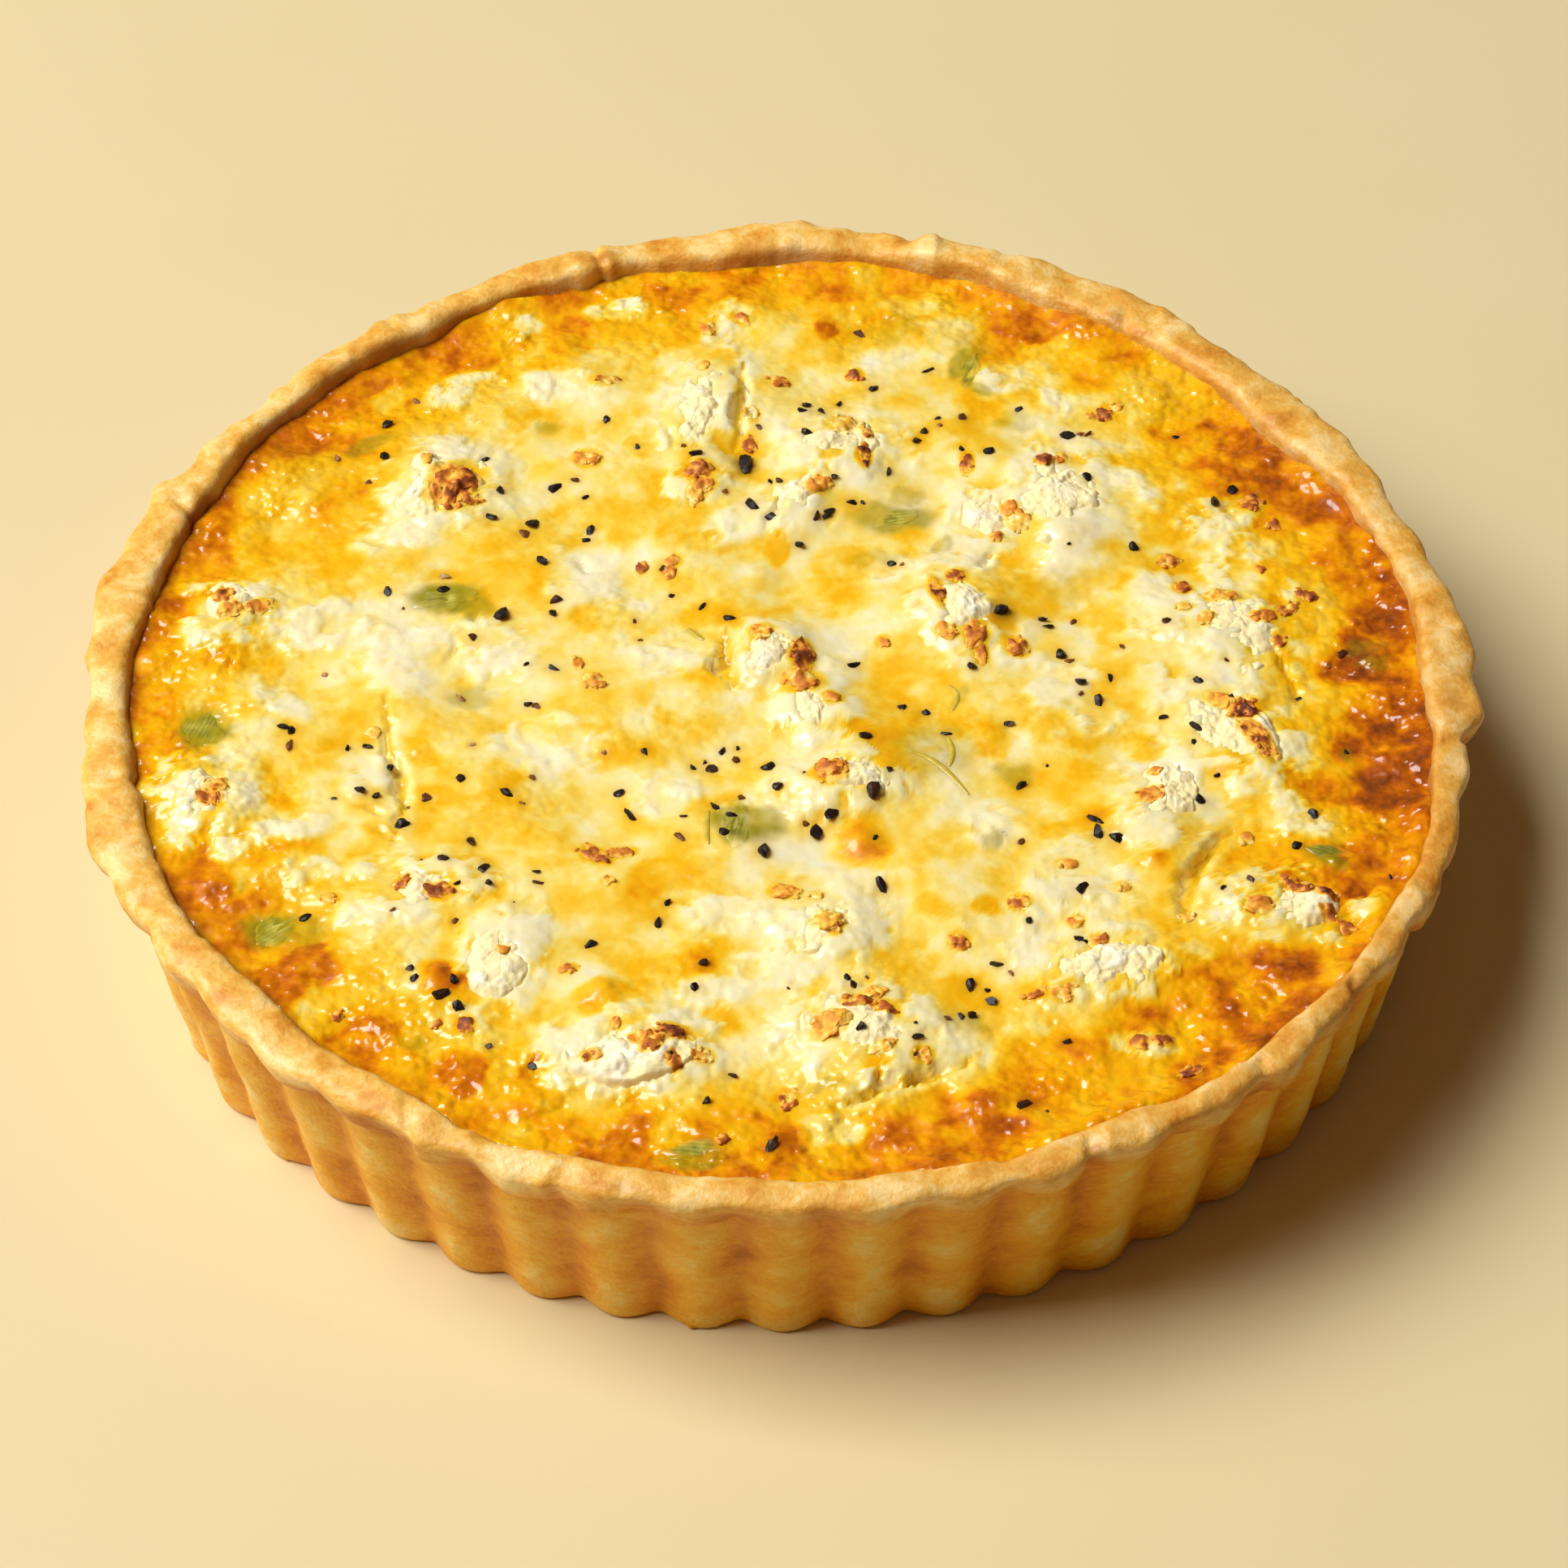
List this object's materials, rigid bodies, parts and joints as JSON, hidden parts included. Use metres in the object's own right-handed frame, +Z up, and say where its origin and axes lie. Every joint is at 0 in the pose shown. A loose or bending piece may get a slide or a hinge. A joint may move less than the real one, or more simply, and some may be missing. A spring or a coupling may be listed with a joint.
{
  "type": "quiche",
  "caption": "Whole round quiche turned out of its tin: fluted shortcrust case with a rolled rim, browned egg custard, goat cheese, leek and cracked black pepper.",
  "frame": {"origin": "centre of the flat underside, on the surface that the quiche stands on", "axes": "+Z up; -Y towards the side seen in front, +X to the right of it"},
  "size_m": [0.2233, 0.2225, 0.0419],
  "materials": {
    "shortcrust": "baked golden, satin",
    "egg_custard": "browned, glossy and mottled",
    "goat_cheese": "crumbly, toasted at the tips",
    "leek": "cooked, translucent, satin"
  },
  "bodies": {
    "root": {"pastry_case": "shortcrust", "egg_custard": "egg_custard", "goat_cheese_01": "goat_cheese", "goat_cheese_02": "goat_cheese", "goat_cheese_03": "goat_cheese", "goat_cheese_04": "goat_cheese", "goat_cheese_05": "goat_cheese", "goat_cheese_06": "goat_cheese", "goat_cheese_07": "goat_cheese", "goat_cheese_08": "goat_cheese", "goat_cheese_09": "goat_cheese", "goat_cheese_10": "goat_cheese", "goat_cheese_11": "goat_cheese", "goat_cheese_12": "goat_cheese", "goat_cheese_13": "goat_cheese", "goat_cheese_14": "goat_cheese", "goat_cheese_15": "goat_cheese", "goat_cheese_16": "goat_cheese", "goat_cheese_17": "goat_cheese", "goat_cheese_18": "goat_cheese", "goat_cheese_19": "goat_cheese", "goat_cheese_20": "goat_cheese", "goat_cheese_21": "goat_cheese", "goat_cheese_22": "goat_cheese", "goat_cheese_23": "goat_cheese", "leek_01": "leek", "leek_02": "leek", "leek_03": "leek", "leek_04": "leek", "leek_05": "leek", "leek_06": "leek", "leek_07": "leek", "leek_08": "leek"}
  },
  "joints": []
}
